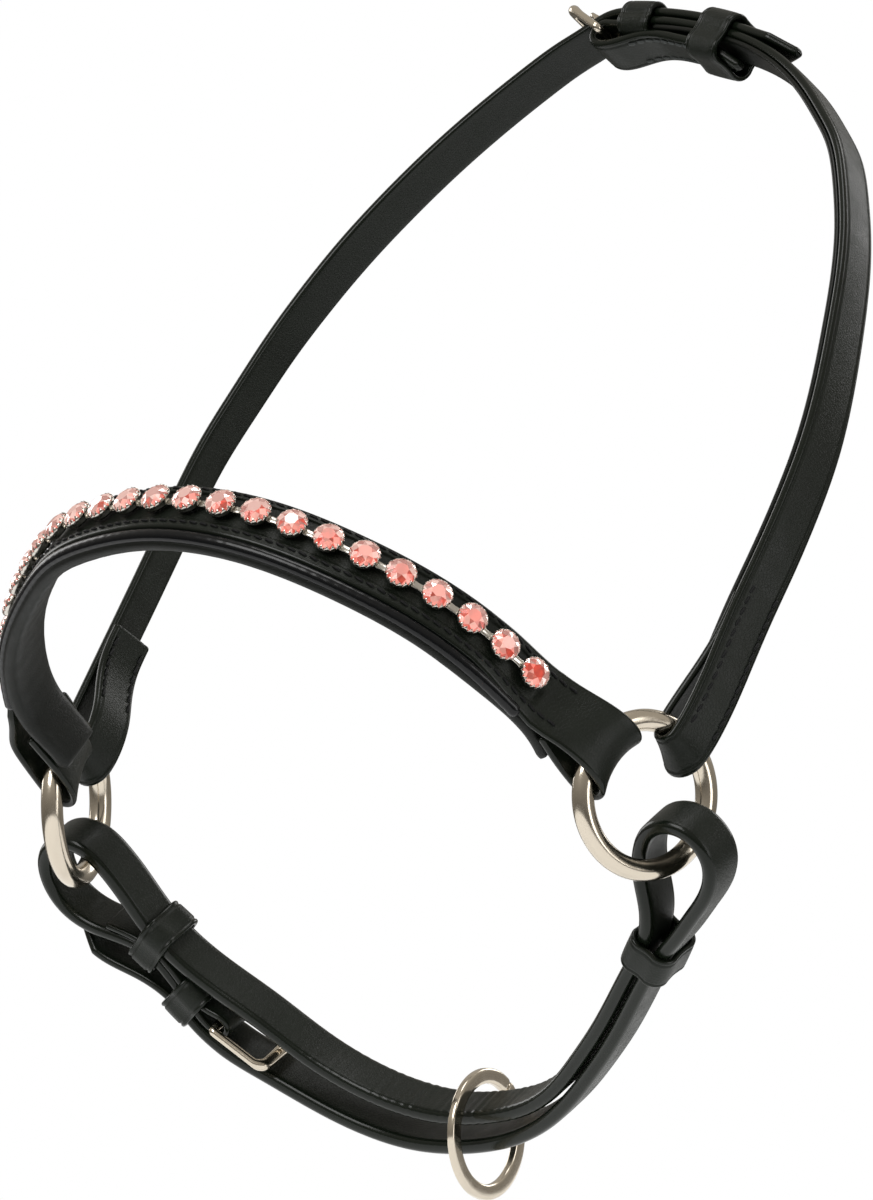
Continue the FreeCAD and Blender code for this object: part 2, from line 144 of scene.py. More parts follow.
class Line:
    """Smooth curve through control points, measured along its length in millimetres."""

    def __init__(self, points):
        p = np.array(points, float)
        gaps = np.linalg.norm(np.diff(p, axis=0), axis=1)
        n = len(p)
        left = np.eye(n)
        right = np.zeros((n, 2))
        for i in range(1, n - 1):
            left[i, i - 1] = gaps[i - 1]
            left[i, i] = 2 * (gaps[i - 1] + gaps[i])
            left[i, i + 1] = gaps[i]
            right[i] = 6 * ((p[i + 1] - p[i]) / gaps[i] - (p[i] - p[i - 1]) / gaps[i - 1])
        bend = np.linalg.solve(left, right)
        spots = []
        index = []
        for i in range(n - 1):
            h = gaps[i]
            for k in range(LINE_STEPS if i < n - 2 else LINE_STEPS + 1):
                t = k / LINE_STEPS
                a = 1 - t
                spot = a * p[i] + t * p[i + 1]
                spot = spot + h * h / 6 * ((a ** 3 - a) * bend[i] + (t ** 3 - t) * bend[i + 1])
                spots.append(spot)
                index.append(i + t)
        self.spots = np.array(spots)
        self.index = np.array(index)
        steps = np.linalg.norm(np.diff(self.spots, axis=0), axis=1)
        self.run = np.concatenate(([0], np.cumsum(steps)))
        self.length = float(self.run[-1])

    def at(self, s):
        x = np.interp(s, self.run, self.spots[:, 0])
        y = np.interp(s, self.run, self.spots[:, 1])
        return x, y

    def frame(self, s):
        """Place and unit direction at a distance along the line."""
        low = self.at(max(0.0, s - 0.4))
        high = self.at(min(self.length, s + 0.4))
        dx, dy = high[0] - low[0], high[1] - low[1]
        size = math.hypot(dx, dy)
        x, y = self.at(s)
        return (x, y), (dx / size, dy / size)

    def control(self, s):
        """Position among the control points, such as 2.5 between the third and fourth."""
        return float(np.interp(s, self.run, self.index))

    def distance(self, index):
        return float(np.interp(index, self.index, self.run))


# ---- meshes --------------------------------------------------------------
def new_object(name, verts, faces, smooth=True, edge=None):
    mesh = bpy.data.meshes.new(name)
    mesh.from_pydata([tuple(v) for v in verts], [], faces)
    mesh.update()
    if edge is not None:
        layer = mesh.attributes.new("edge", "FLOAT", "POINT")
        layer.data.foreach_set("value", edge)
    mesh.polygons.foreach_set("use_smooth", [smooth] * len(mesh.polygons))
    obj = bpy.data.objects.new(name, mesh)
    bpy.context.scene.collection.objects.link(obj)
    return obj


def finish_piece(obj, body, material, nodes):
    obj.data.materials.append(material)
    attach(obj, body)
    if nodes:
        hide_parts(*nodes)
    return obj


def join_rows(rows, around=True, ends=True, closed=False):
    """Vertices and faces of a skin over rows of points; each row goes once round the section."""
    verts = [p for row in rows for p in row]
    n = len(rows[0])
    faces = []
    last = len(rows) if closed else len(rows) - 1
    for i in range(last):
        j = (i + 1) % len(rows)
        for k in range(n if around else n - 1):
            m = (k + 1) % n
            faces.append((i * n + k, i * n + m, j * n + m, j * n + k))
    if ends and not closed:
        faces.append(tuple(range(n - 1, -1, -1)))
        faces.append(tuple((len(rows) - 1) * n + k for k in range(n)))
    return verts, faces


def strap_section(half_width, half_thick, crease, dome, rolled, channel=None):
    """Section of a finished strap: (across, height, edge) points, outer face first."""
    r = min(half_thick * 0.92, half_width * 0.8, rolled)
    flat = half_width - r
    spots = []
    groove = [(-0.55, 0.0), (-0.28, 0.55), (0.0, 1.0), (0.28, 0.55), (0.55, 0.0)] if crease else []
    stops = [crease + g for g, _ in groove]
    depths = [d * 0.32 for _, d in groove]
    left = [(-half_width + s, d) for s, d in zip(stops, depths)]
    right = [(half_width - s, d) for s, d in zip(reversed(stops), reversed(depths))]
    inner = half_width - (crease + 0.9 if crease else r + 0.3)
    middle = [(-inner + 2 * inner * k / 8, 0.0) for k in range(9)]
    if channel:
        low, high = channel[:2]
        rims = [low - 0.3, low - 0.1, low + 0.1, low + 0.3, high - 0.3, high - 0.1, high + 0.1, high + 0.3]
        middle = sorted(middle + [(a, 0.0) for a in rims])
    for a, d in [(-flat, 0.0)] + left + middle + right + [(flat, 0.0)]:
        a = max(-flat, min(flat, a))
        height = half_thick + dome * (1 - (a / max(half_width, 0.01)) ** 2) - d
        near = 1.0 - min(1.0, max(0.0, (half_width - abs(a) - 0.6) / 1.0))
        spots.append((a, height, near))
    for k in range(1, 6):
        t = math.pi / 2 * k / 5
        spots.append((flat + r * math.sin(t), half_thick - r + r * math.cos(t), 1.0))
    for k in range(0, 5):
        t = math.pi / 2 * k / 5
        spots.append((flat + r * math.cos(t), -half_thick + r - r * math.sin(t), 1.0))
    for k in range(9):
        a = flat - 2 * flat * k / 8
        spots.append((a, -half_thick, 0.0 if 0 < k < 8 else 0.6))
    for k in range(1, 6):
        t = math.pi / 2 * k / 5
        spots.append((-flat - r * math.sin(t), -half_thick + r - r * math.cos(t), 1.0))
    for k in range(0, 5):
        t = math.pi / 2 * k / 5
        spots.append((-flat - r * math.cos(t), half_thick - r + r * math.sin(t), 1.0))
    return spots


def smooth_step(t):
    t = min(1.0, max(0.0, t))
    return t * t * (3 - 2 * t)


def pointed(d):
    """Half width of a pointed strap end at a distance from its tip."""
    return 1.2 + 0.64 * d


class Strap:
    """Strap of leather along a line in its plane.

    `thick`, `width`, `shift` and `twist` (degrees) are numbers or (control point, value) pairs;
    `pointed_at` names the pointed ends ("start", "end"); `rings` are (side, control point) pairs
    where it folds round a ring; `wave` is a height added by distance and place across; `channel` is
    (low, high, first, last, depth): a sunk band across the face between two distances.
    """

    def __init__(self, plane, points, thick, width, shift=0.0, lift=0.0, twist=0.0, crease=1.7, dome=0.12,
                 rolled=1.05, pointed_at=(), rings=(), wave=None, channel=None):
        self.plane = plane
        self.line = Line(points)
        self.thick = self.spread(thick)
        self.width = self.spread(width)
        self.shift = self.spread(shift)
        self.twist = self.spread(twist)
        self.lift = lift
        self.look = (crease, dome, rolled)
        self.pointed_at = pointed_at
        self.wave = wave
        self.channel = channel
        self.folds = []
        for side, index in rings:
            self.folds.append((side, self.line.distance(index), wire_in_plane(plane, side, 0.0)))

    def spread(self, value):
        if isinstance(value, (int, float)):
            return lambda s: value
        where, what = zip(*value)
        return lambda s: float(np.interp(self.line.control(s), where, what))

    def place(self, s, across, height):
        """Point at a distance along, a place across and a height over the strap's middle."""
        (x, run), (tx, ty) = self.line.frame(s)
        across = across + self.shift(s)
        turn = math.radians(self.twist(s))
        flat = across * math.cos(turn) - height * math.sin(turn)
        height = height * math.cos(turn) + across * math.sin(turn)
        for side, centre_s, centre in self.folds:
            weight = 1 - smooth_step((abs(s - centre_s) - 7) / 16)
            if weight > 0:
                there = wire_in_plane(self.plane, side, flat)
                follow = weight * (0 if turn else 1)
                x += follow * (there[0] - centre[0])
                run += weight * (there[1] - centre[1])
        out = self.plane.turn(ty, -tx)
        return self.plane.at(x, run, flat) + out * (height + self.lift) * MM

    def lead(self, s, across, height):
        ahead = self.place(min(self.line.length, s + 0.5), across, height)
        return (ahead - self.place(max(0.0, s - 0.5), across, height)).normalized()

    def build(self, name, step=0.9):
        line = self.line
        crease, dome, rolled = self.look
        rim = 1.0
        ends = [rim * (1 - math.cos(math.pi / 2 * k / 5)) for k in range(5)]
        body = list(np.linspace(rim, line.length - rim, max(2, int((line.length - 2 * rim) / step))))
        rows = []
        edge = []
        for s in ends + body + [line.length - e for e in reversed(ends)]:
            t_half = self.thick(s) / 2
            w_half = self.width(s) / 2
            near_end = min(s, line.length - s)
            if near_end < rim:
                squeeze = math.sqrt(max(0.02, 1 - (1 - near_end / rim) ** 2))
                t_half = t_half * squeeze
                w_half = w_half - rim * 0.8 * (1 - squeeze)
            if "start" in self.pointed_at:
                w_half = min(w_half, pointed(s))
            if "end" in self.pointed_at:
                w_half = min(w_half, pointed(line.length - s))
            row = []
            for a, h, burnish in strap_section(w_half, t_half, crease, dome, rolled, self.channel):
                if self.wave is not None:
                    h += self.wave(s, a / max(w_half, 0.1))
                if self.channel and h > 0:
                    low, high, first, last, depth = self.channel
                    sink = smooth_step((s - first + 1.2) / 1.2) * smooth_step((last + 1.2 - s) / 1.2)
                    sink = sink * smooth_step((a - low + 0.3) / 0.6) * smooth_step((high + 0.3 - a) / 0.6)
                    h -= sink * depth
                row.append(self.place(s, a, h))
                edge.append(burnish)
            rows.append(row)
        return new_object(name, *join_rows(rows), edge=edge)


def arc(centre, radius, start, end, steps=6):
    spots = []
    for k in range(steps + 1):
        a = math.radians(start + (end - start) * k / steps)
        spots.append((centre[0] + radius * math.cos(a), centre[1] + radius * math.sin(a)))
    return spots


def ring_fold(plane, side, half, start, end):
    """Arc of a strap round a ring's wire, between two angles in degrees."""
    x, run = wire_in_plane(plane, side, 0.0)
    return arc((x, run - FOLD_SLACK[side]), RING_WIRE + half + 0.55, start, end)


def tube(path, radii, flat_axis, sides=16, flat=1.0, closed=False):
    """Rows of a bar along a path, with a radius at each point; `flat` squeezes it along one axis."""
    rows = []
    n = len(path)
    for i in range(n):
        before = path[(i - 1) % n] if closed or i > 0 else path[i]
        after = path[(i + 1) % n] if closed or i < n - 1 else path[i]
        lead = (after - before).normalized()
        up = (flat_axis - lead * flat_axis.dot(lead)).normalized()
        other = lead.cross(up)
        row = []
        for k in range(sides):
            a = 2 * math.pi * k / sides
            row.append(path[i] + (up * math.cos(a) * flat + other * math.sin(a)) * radii[i] * MM)
        rows.append(row)
    return rows


class Pile:
    """Gathers many small shapes into one mesh."""

    def __init__(self):
        self.verts = []
        self.faces = []
        self.kinds = []

    def add(self, verts, faces, kind=0):
        base = len(self.verts)
        self.verts.extend(verts)
        self.faces.extend(tuple(base + v for v in face) for face in faces)
        self.kinds.extend([kind] * len(faces))

    def done(self, name, smooth=True):
        obj = new_object(name, self.verts, self.faces, smooth)
        obj.data.polygons.foreach_set("material_index", self.kinds)
        return obj


def stitch(pile, centre, lead, out, length, radius):
    """One stitch: a plump thread that dips into the leather at both ends."""
    path = []
    radii = []
    for k in range(7):
        t = -1 + 2 * k / 6
        path.append(centre + lead * (t * length / 2 * MM) + out * ((0.18 - 0.42 * t ** 4) * MM))
        radii.append(radius * (1 - 0.45 * t ** 4))
    pile.add(*join_rows(tube(path, radii, out, sides=8)))


def stitch_row(pile, strap, first, last, across, face=1, slant=0.16, pitch=STITCH_PITCH, size=0.42):
    """Row of stitches between two distances along a strap, on its outer (1) or inner (-1) face."""
    count = int((last - first) / pitch) + 1
    for k in range(count):
        s = first + k * pitch
        height = face * (strap.thick(s) / 2 + 0.05)
        spot = strap.place(s, across, height)
        out = (strap.place(s, across, height + face * 0.5) - spot).normalized()
        lead = strap.lead(s, across, height)
        side = lead.cross(out)
        stitch(pile, spot, (lead + side * slant).normalized(), out, pitch * 0.8, size)


# ---- materials -----------------------------------------------------------
def linear(code):
    """Linear colour of an sRGB hex value."""
    parts = [int(code[i:i + 2], 16) / 255 for i in (1, 3, 5)]
    return tuple(c / 12.92 if c <= 0.04045 else ((c + 0.055) / 1.055) ** 2.4 for c in parts) + (1.0,)


def add(tree, kind, settings=None, links=None):
    """Adds a node; `links` maps its inputs to other nodes' outputs."""
    node = tree.nodes.new(kind)
    for key, value in (settings or {}).items():
        if isinstance(key, str) and hasattr(node, key):
            setattr(node, key, value)
        else:
            node.inputs[key].default_value = value
    for key, source in (links or {}).items():
        tree.links.new(source, node.inputs[key])
    return node


def material(name, **sockets):
    made = bpy.data.materials.new(name)
    made.use_nodes = True
    tree = made.node_tree
    shader = tree.nodes["Principled BSDF"]
    for key, value in sockets.items():
        shader.inputs[key.replace("_", " ")].default_value = value
    return made, tree, shader


def leather(name, dark, light, rough, edge_rough, grain=1.0):
    """Vat-dyed leather: close pores, faint mottling from the dye, and burnished edges that shine."""
    made, tree, shader = material(name, Specular_IOR_Level=0.24, Coat_Weight=0.04, Coat_Roughness=0.15)
    place = add(tree, "ShaderNodeTexCoord").outputs["Object"]
    # pores of cowhide, drawn coarse at 0.9 mm apart so that they show; dye clouds of 8 mm; 0.4 mm fibres
    pores = add(tree, "ShaderNodeTexVoronoi", {"feature": "DISTANCE_TO_EDGE", "Scale": 1150.0},
                {"Vector": place})
    pores_soft = add(tree, "ShaderNodeMapRange", {1: 0.0, 2: 0.16}, {0: pores.outputs["Distance"]})
    cloudy = add(tree, "ShaderNodeTexNoise", {"Scale": 130.0, "Detail": 5.0, "Roughness": 0.6},
                 {"Vector": place})
    fibre = add(tree, "ShaderNodeTexNoise", {"Scale": 2600.0, "Detail": 3.0}, {"Vector": place})
    edge = add(tree, "ShaderNodeAttribute", {"attribute_name": "edge"})
    tone = add(tree, "ShaderNodeMix", {"data_type": "RGBA", 6: linear(dark), 7: linear(light)},
               {0: cloudy.outputs["Fac"]})
    tree.links.new(tone.outputs[2], shader.inputs["Base Color"])
    gloss = add(tree, "ShaderNodeMapRange", {1: 0.3, 2: 0.7, 3: rough - 0.06, 4: rough + 0.08},
                {0: cloudy.outputs["Fac"]})
    worn = add(tree, "ShaderNodeMix", {"data_type": "FLOAT", 3: edge_rough},
               {0: edge.outputs["Fac"], 2: gloss.outputs[0]})
    tree.links.new(worn.outputs[0], shader.inputs["Roughness"])
    flatter = add(tree, "ShaderNodeMapRange", {1: 0.0, 2: 1.0, 3: 1.0, 4: 0.15}, {0: edge.outputs["Fac"]})
    fine = add(tree, "ShaderNodeMath", {"operation": "MULTIPLY", 1: 0.5}, {0: fibre.outputs["Fac"]})
    relief = add(tree, "ShaderNodeMath", {"operation": "ADD"},
                 {0: pores_soft.outputs[0], 1: fine.outputs[0]})
    strength = add(tree, "ShaderNodeMath", {"operation": "MULTIPLY", 1: 0.42 * grain},
                   {0: flatter.outputs[0]})
    bump = add(tree, "ShaderNodeBump", {"Distance": 0.00009},
               {"Height": relief.outputs[0], "Strength": strength.outputs[0]})
    tree.links.new(bump.outputs["Normal"], shader.inputs["Normal"])
    return made


def polished_leather():
    """Patent roll along the noseband: 2.4 mm ripples under a wet blue-black shine."""
    made, tree, shader = material("patent_leather", Base_Color=linear("#07090c"), Roughness=0.24,
                                  Specular_IOR_Level=0.2, Coat_Weight=0.22, Coat_Roughness=0.1)
    place = add(tree, "ShaderNodeTexCoord").outputs["Object"]
    ripple = add(tree, "ShaderNodeTexNoise", {"Scale": 420.0, "Detail": 4.0}, {"Vector": place})
    bump = add(tree, "ShaderNodeBump", {"Strength": 0.3, "Distance": 0.00012},
               {"Height": ripple.outputs["Fac"]})
    tree.links.new(bump.outputs["Normal"], shader.inputs["Normal"])
    return made


def plated(name, colour, rough, wave):
    """Polished nickel over cast metal: a warm mirror with 4 mm patches of haze and 6 mm waves."""
    made, tree, shader = material(name, Base_Color=linear(colour), Metallic=1.0)
    place = add(tree, "ShaderNodeTexCoord").outputs["Object"]
    haze = add(tree, "ShaderNodeTexNoise", {"Scale": 240.0, "Detail": 6.0}, {"Vector": place})
    gloss = add(tree, "ShaderNodeMapRange", {1: 0.3, 2: 0.75, 3: rough, 4: rough + 0.09},
                {0: haze.outputs["Fac"]})
    tree.links.new(gloss.outputs[0], shader.inputs["Roughness"])
    dents = add(tree, "ShaderNodeTexNoise", {"Scale": 170.0, "Detail": 1.0}, {"Vector": place})
    bump = add(tree, "ShaderNodeBump", {"Strength": wave, "Distance": 0.0004},
               {"Height": dents.outputs["Fac"]})
    tree.links.new(bump.outputs["Normal"], shader.inputs["Normal"])
    return made


def thread_material(name, colour):
    """Waxed linen thread: matt, with 0.24 mm strands fine enough to read as sparkle."""
    made, tree, shader = material(name, Base_Color=linear(colour), Roughness=0.6, Specular_IOR_Level=0.25)
    place = add(tree, "ShaderNodeTexCoord").outputs["Object"]
    strands = add(tree, "ShaderNodeTexNoise", {"Scale": 4200.0, "Detail": 2.0}, {"Vector": place})
    bump = add(tree, "ShaderNodeBump", {"Strength": 0.5, "Distance": 0.0001},
               {"Height": strands.outputs["Fac"]})
    tree.links.new(bump.outputs["Normal"], shader.inputs["Normal"])
    return made


bridle_leather = leather("finished_bridle_leather", "#0c110b", "#151b13", 0.44, 0.2)
# the lining is a darker copy of the bridle leather: the darker tone is painted shade for the inner faces;
# the rougher gloss and softer grain are the lining's own
shaded_lining_leather = leather("smooth_lining_leather_painted_shade", "#080b08", "#0e120d", 0.5, 0.3, grain=0.8)
patent_leather = polished_leather()
nickel = plated("polished_nickel_plate", "#d1c7b7", 0.13, 0.12)
silver = plated("stamped_silver_plate", "#cfcac2", 0.16, 0.05)
black_thread = thread_material("waxed_black_thread", "#0d0e0f")
grey_thread = thread_material("waxed_grey_thread", "#4a4d4c")


def crystal_glass():
    """Tinted lead glass: clear salmon pink, with painted glints and shade: each cut face gets a lighter or
    darker tint and its own painted glow.
    """
    made, tree, shader = material("salmon_crystal_glass_painted_glints", Roughness=0.02, IOR=1.5, Transmission_Weight=0.4,
                                  Specular_IOR_Level=0.35)
    # painted glints and shade: the per-face value lightens or darkens each face's tint and sets a glow from
    # the surface itself
    painted_facet_glint = add(tree, "ShaderNodeAttribute", {"attribute_name": "painted_facet_glint"})
    tint_and_painted_glint = add(tree, "ShaderNodeMix", {"data_type": "RGBA", 6: linear("#d9604f"), 7: linear("#ffd3c7")},
               {0: painted_facet_glint.outputs["Fac"]})
    tree.links.new(tint_and_painted_glint.outputs[2], shader.inputs["Base Color"])
    painted_glow = add(tree, "ShaderNodeMapRange", {1: 0.2, 2: 1.0, 3: 0.02, 4: 0.42}, {0: painted_facet_glint.outputs["Fac"]})
    tree.links.new(tint_and_painted_glint.outputs[2], shader.inputs["Emission Color"])
    tree.links.new(painted_glow.outputs[0], shader.inputs["Emission Strength"])
    return made


def crystal_foil():
    """Mirror foil behind the stone, metallic pink, with a painted glow on each cut face in place of the
    light it would send back through the glass.
    """
    made, tree, shader = material("pink_mirror_foil_painted_glow", Base_Color=linear("#f08a76"), Metallic=0.7,
                                  Roughness=0.2, Emission_Color=linear("#ee7f6a"))
    # painted glow: emission strength set per cut face, standing in for light sent back through the glass
    painted_facet_glint = add(tree, "ShaderNodeAttribute", {"attribute_name": "painted_facet_glint"})
    painted_glow = add(tree, "ShaderNodeMapRange", {3: 0.04, 4: 0.75}, {0: painted_facet_glint.outputs["Fac"]})
    tree.links.new(painted_glow.outputs[0], shader.inputs["Emission Strength"])
    return made


glass = crystal_glass()
foil = crystal_foil()


# ---- side rings ----------------------------------------------------------
def side_ring(side, name, body):
    centre, ahead, up = ring_frame(side)
    out = ahead.cross(up)
    path = []
    for k in range(RING_STEPS):
        a = 2 * math.pi * k / RING_STEPS
        path.append(centre + (ahead * math.cos(a) + up * math.sin(a)) * RING_RADIUS * MM)
    rows = tube(path, [RING_WIRE] * len(path), out, sides=32, closed=True)
    obj = new_object(name, *join_rows(rows, closed=True))
    finish_piece(obj, body, nickel, [name])


side_ring(1, "side_ring_left", "ring_left")
side_ring(-1, "side_ring_right", "ring_right")

# ---- crown strap ---------------------------------------------------------
CROWN_LEFT = [(112.8, 60), (113.4, 75), (113.5, 92), (112.2, 111), (108.9, 128.5), (103.6, 148),
              (99.2, 162), (93.2, 177.3), (84.6, 193.7), (75.6, 207), (66.8, 215.6), (58, 223.2),
              (47.2, 230.8)]
CROWN_BAR = (-25.8, 242.4)
CROWN_END_BAR = (-38.2, 248.6)

left_foot = [(108.6, 63), (108.2, 52), (105.6, 39), (102.4, 28)]
left_foot += ring_fold(crown, 1, CROWN_LEATHER / 2, 185, 352) + [(112.4, 28), (112.8, 44)]
left_top = [(34, 237.5), (20, 242), (4, 245), (-10, 246.2)]
left_bar = arc(CROWN_BAR, BAR_LAP + CROWN_LEATHER / 2, 75, 255)
left_back = [(-12, 241.5), (3, 240.3), (15, 237.7), (24, 234.6)]
left_points = left_foot + CROWN_LEFT + left_top + left_bar + left_back
n_foot = len(left_foot)
left_twist = [(n_foot + k, LEFT_TWIST * smooth_step(1 - k / 8)) for k in range(9)]
left_strap = Strap(crown, left_points, CROWN_LEATHER, CROWN_WIDTH, twist=left_twist, rings=[(1, 7)],
                   pointed_at=("end",))
finish_piece(left_strap.build("crown_left_strap"), "headpiece", bridle_leather,
             ["crown_left_strap"])

lining_points = [(112.8, 44)] + CROWN_LEFT + left_top[:3] + [(-8, 246.1)]
lining_twist = [(1 + k, LEFT_TWIST * smooth_step(1 - k / 8)) for k in range(9)]
lining = Strap(crown, lining_points, LINING_LEATHER, CROWN_WIDTH - 0.3, twist=lining_twist,
               lift=-(CROWN_LEATHER + LINING_LEATHER) / 2 - 0.03, crease=0, dome=0)
finish_piece(lining.build("crown_left_lining"), "headpiece", shaded_lining_leather,
             ["crown_left_lining"])

CROWN_RIGHT = [(-110.2, 92), (-108.6, 111), (-105, 127.6), (-100.1, 146.4), (-95, 160.6), (-88.5, 175.2),
               (-80, 190.2), (-70, 205), (-59, 218.6), (-47.8, 230.6), (-39.6, 238.2)]
right_foot = [(-108.9, 52), (-108.9, 42), (-106.4, 33), (-103.8, 26)]
right_foot += ring_fold(crown, -1, CROWN_LEATHER / 2, 355, 188) + [(-113.2, 28), (-112.4, 44), (-111.2, 68)]
right_top = [(-33, 243.2), (-26.5, 248), (-17, 249.3), (0, 248.3), (15, 245.8), (30, 241.8), (43.5, 238.4)]
right_points = right_foot + CROWN_RIGHT + right_top

# this half runs from its pointed end at the poll down to the ring
billet_points = right_points[::-1]
last = len(billet_points) - 1
billet_twist = [(last - len(right_foot) - 7 + k, RIGHT_TWIST * smooth_step(k / 7)) for k in range(8)]
billet = Strap(crown, billet_points, CROWN_LEATHER, CROWN_WIDTH, twist=billet_twist,
               rings=[(-1, last - 7)], pointed_at=("start",))
finish_piece(billet.build("crown_billet_strap"), "headpiece", bridle_leather,
             ["crown_billet_strap"])


# ---- keepers -------------------------------------------------------------
def keeper(name, plane, centre, lead, thick, length, body):
    """Leather loop with rounded corners round a stack of straps that is `thick` through."""
    along = plane.turn(*lead)
    normal = plane.across.cross(along)
    origin = plane.at(*centre)
    a = thick / 2 + KEEPER_WALL / 2
    b = KEEPER_INSIDE / 2 + KEEPER_WALL / 2
    corner = min(3.8, 0.75 * a)
    loop = []
    for cx, cy, start in ((a, b, 0), (-a, b, 90), (-a, -b, 180), (a, -b, 270)):
        px = cx - math.copysign(corner, cx)
        py = cy - math.copysign(corner, cy)
        for k in range(9):
            t = math.radians(start + 90 * k / 8)
            loop.append((px + corner * math.cos(t), py + corner * math.sin(t), math.cos(t), math.sin(t)))
    rows = []
    edge = []
    dense = []
    for i, spot in enumerate(loop):
        dense.append(spot)
        if i % 9 == 8:
            after = loop[(i + 1) % len(loop)]
            for k in range(1, 7):
                t = k / 7
                bow = 0.35 * math.sin(math.pi * t)
                x = spot[0] + (after[0] - spot[0]) * t - spot[2] * bow
                y = spot[1] + (after[1] - spot[1]) * t - spot[3] * bow
                dense.append((x, y, spot[2], spot[3]))
    for x, y, nx, ny in dense:
        row = []
        out = normal * nx + plane.across * ny
        for w, h, burnish in strap_section(length / 2, KEEPER_WALL / 2, 1.3, 0.1, 0.6):
            row.append(origin + normal * x * MM + plane.across * y * MM + along * w * MM + out * h * MM)
            edge.append(burnish)
        rows.append(row)
    obj = new_object(name, *join_rows(rows, closed=True), edge=edge)
    finish_piece(obj, body, bridle_leather, [name])


keeper("crown_fixed_keeper", crown, (-14.5, 247.2), (1, -0.03), 7.8, 11, "headpiece")
keeper("crown_loose_keeper", crown, (15.2, 241.8), (1, -0.22), 12.4, 12, "crown_loose_keeper")


# ---- buckles -------------------------------------------------------------
def buckle(name, plane, hinge, end, body):
    """Cast frame: slim rails, a fuller end bar and a straight hinge bar."""
    along = plane.turn(end[0] - hinge[0], end[1] - hinge[1])
    normal = plane.across.cross(along)
    origin = plane.at(*hinge)
    reach = math.hypot(end[0] - hinge[0], end[1] - hinge[1])
    b = BUCKLE_HALF_WIDTH + 1.2
    corner = 3.2
    spots = []
    for cx, cy, start in ((reach, b, 0), (-0.2, b, 90), (-0.2, -b, 180), (reach, -b, 270)):
        tight = corner if cx > 1 else 1.2
        px = cx - (tight if cx > 1 else -tight)
        py = cy - math.copysign(tight, cy)
        for k in range(9):
            t = math.radians(start + 90 * k / 8)
            spots.append((px + tight * math.cos(t), py + tight * math.sin(t)))
    path = [origin + along * x * MM + plane.across * y * MM for x, y in spots]
    radii = [1.3 + 0.5 * smooth_step((x - reach + 3.5) / 3) - 0.05 for x, _ in spots]
    rows = tube(path, radii, normal, sides=20, flat=0.92, closed=True)
    obj = new_object(name, *join_rows(rows, closed=True))
    finish_piece(obj, body, nickel, [name])


def buckle_pin(name, plane, hinge, end, up_sign, body):
    """Pin curled round the hinge bar, with a straight prong that tapers over the end bar."""
    along = plane.turn(end[0] - hinge[0], end[1] - hinge[1])
    normal = plane.across.cross(along) * up_sign
    origin = plane.at(*hinge)
    reach = math.hypot(end[0] - hinge[0], end[1] - hinge[1])
    path = []
    radii = []
    for k in range(13):
        a = math.radians(-170 + 245 * k / 12)
        path.append(origin + (along * -math.sin(a) + normal * math.cos(a)) * 2.55 * MM)
        radii.append(0.85)
    start = path[-1]
    for k in range(1, 15):
        t = k / 14
        x = reach * t + 1.8 * t
        h = 2.45 + 0.4 * t + 0.5 * math.sin(math.pi * t)
        path.append(origin + along * x * MM + normal * h * MM)
        radii.append(1.0 - 0.25 * t)
    path.append(path[-1] + along * 0.5 * MM)
    radii.append(0.35)
    rows = tube(path, radii, plane.across)
    finish_piece(new_object(name, *join_rows(rows)), body, nickel, [name])


buckle("crown_buckle_frame", crown, CROWN_BAR, CROWN_END_BAR, "crown_buckle")
buckle_pin("crown_buckle_tongue", crown, CROWN_BAR, CROWN_END_BAR, 1, "crown_tongue")
CHIN_BAR = (-79.5, 68.5)
CHIN_END_BAR = (-67.2, 80.4)
buckle("chin_buckle_frame", chin, CHIN_BAR, CHIN_END_BAR, "chin_buckle")
buckle_pin("chin_buckle_tongue", chin, CHIN_BAR, CHIN_END_BAR, -1, "chin_tongue")

# ---- noseband ------------------------------------------------------------
NOSE_LINE = [(91.9, 39.3), (86.7, 53.5), (78.1, 68.4), (66, 81), (54.2, 90), (33, 101.8), (16, 106.8),
             (0, 108.2), (-21.8, 105.4), (-33.6, 102.2), (-44.5, 97.6), (-54.8, 90.8), (-66.4, 81.3),
             (-76.4, 71.6), (-84, 62.2), (-90.2, 51.2), (-94.4, 41.4)]
nose_line = Line(NOSE_LINE)

nose_start = [(93.2, 33), (93.9, 26)] + ring_fold(nose, 1, NOSE_LEATHER / 2, 185, 355)
nose_start += [(104.2, 23.5), (100.4, 29), (95.6, 34)]
nose_end = [(-97.2, 35.6), (-100.9, 29.4), (-102.3, 23.2)] + ring_fold(nose, -1, NOSE_LEATHER / 2, 185, 355)
nose_end += [(-92.9, 26), (-93.6, 31.6)]
first_nose = len(nose_start)
last_nose = first_nose + len(NOSE_LINE) - 1
strip_points = nose_start + NOSE_LINE + nose_end
strip_width = [(0, TAB_WIDTH), (first_nose - 0.2, TAB_WIDTH), (first_nose + 1.4, NOSE_WIDTH),
               (last_nose - 0.7, NOSE_WIDTH), (last_nose + 0.2, TAB_WIDTH), (len(strip_points), TAB_WIDTH)]
strip_shift = [(0, TAB_SHIFT), (first_nose - 0.2, TAB_SHIFT), (first_nose + 1.4, 0),
               (last_nose - 0.7, 0), (last_nose + 0.2, TAB_SHIFT), (len(strip_points), TAB_SHIFT)]
bare = Line(strip_points)
chain_start = bare.distance(first_nose)
strip = Strap(nose, strip_points, NOSE_LEATHER, strip_width, shift=strip_shift, crease=0,
              rings=[(1, 5), (-1, len(strip_points) - 6)], dome=0.05,
              channel=RECESS + (chain_start + 1.5, chain_start + nose_line.length - 2, RECESS_DEPTH))
finish_piece(strip.build("noseband_strap"), "noseband", bridle_leather, ["noseband_strap"])


def along_nose(distances):
    """(x, run, lead, out) of the noseband at distances along it."""
    spots = []
    for d in distances:
        (x, run), (tx, ty) = nose_line.frame(d)
        spots.append((x, run, nose.turn(tx, ty), nose.turn(ty, -tx)))
    return spots


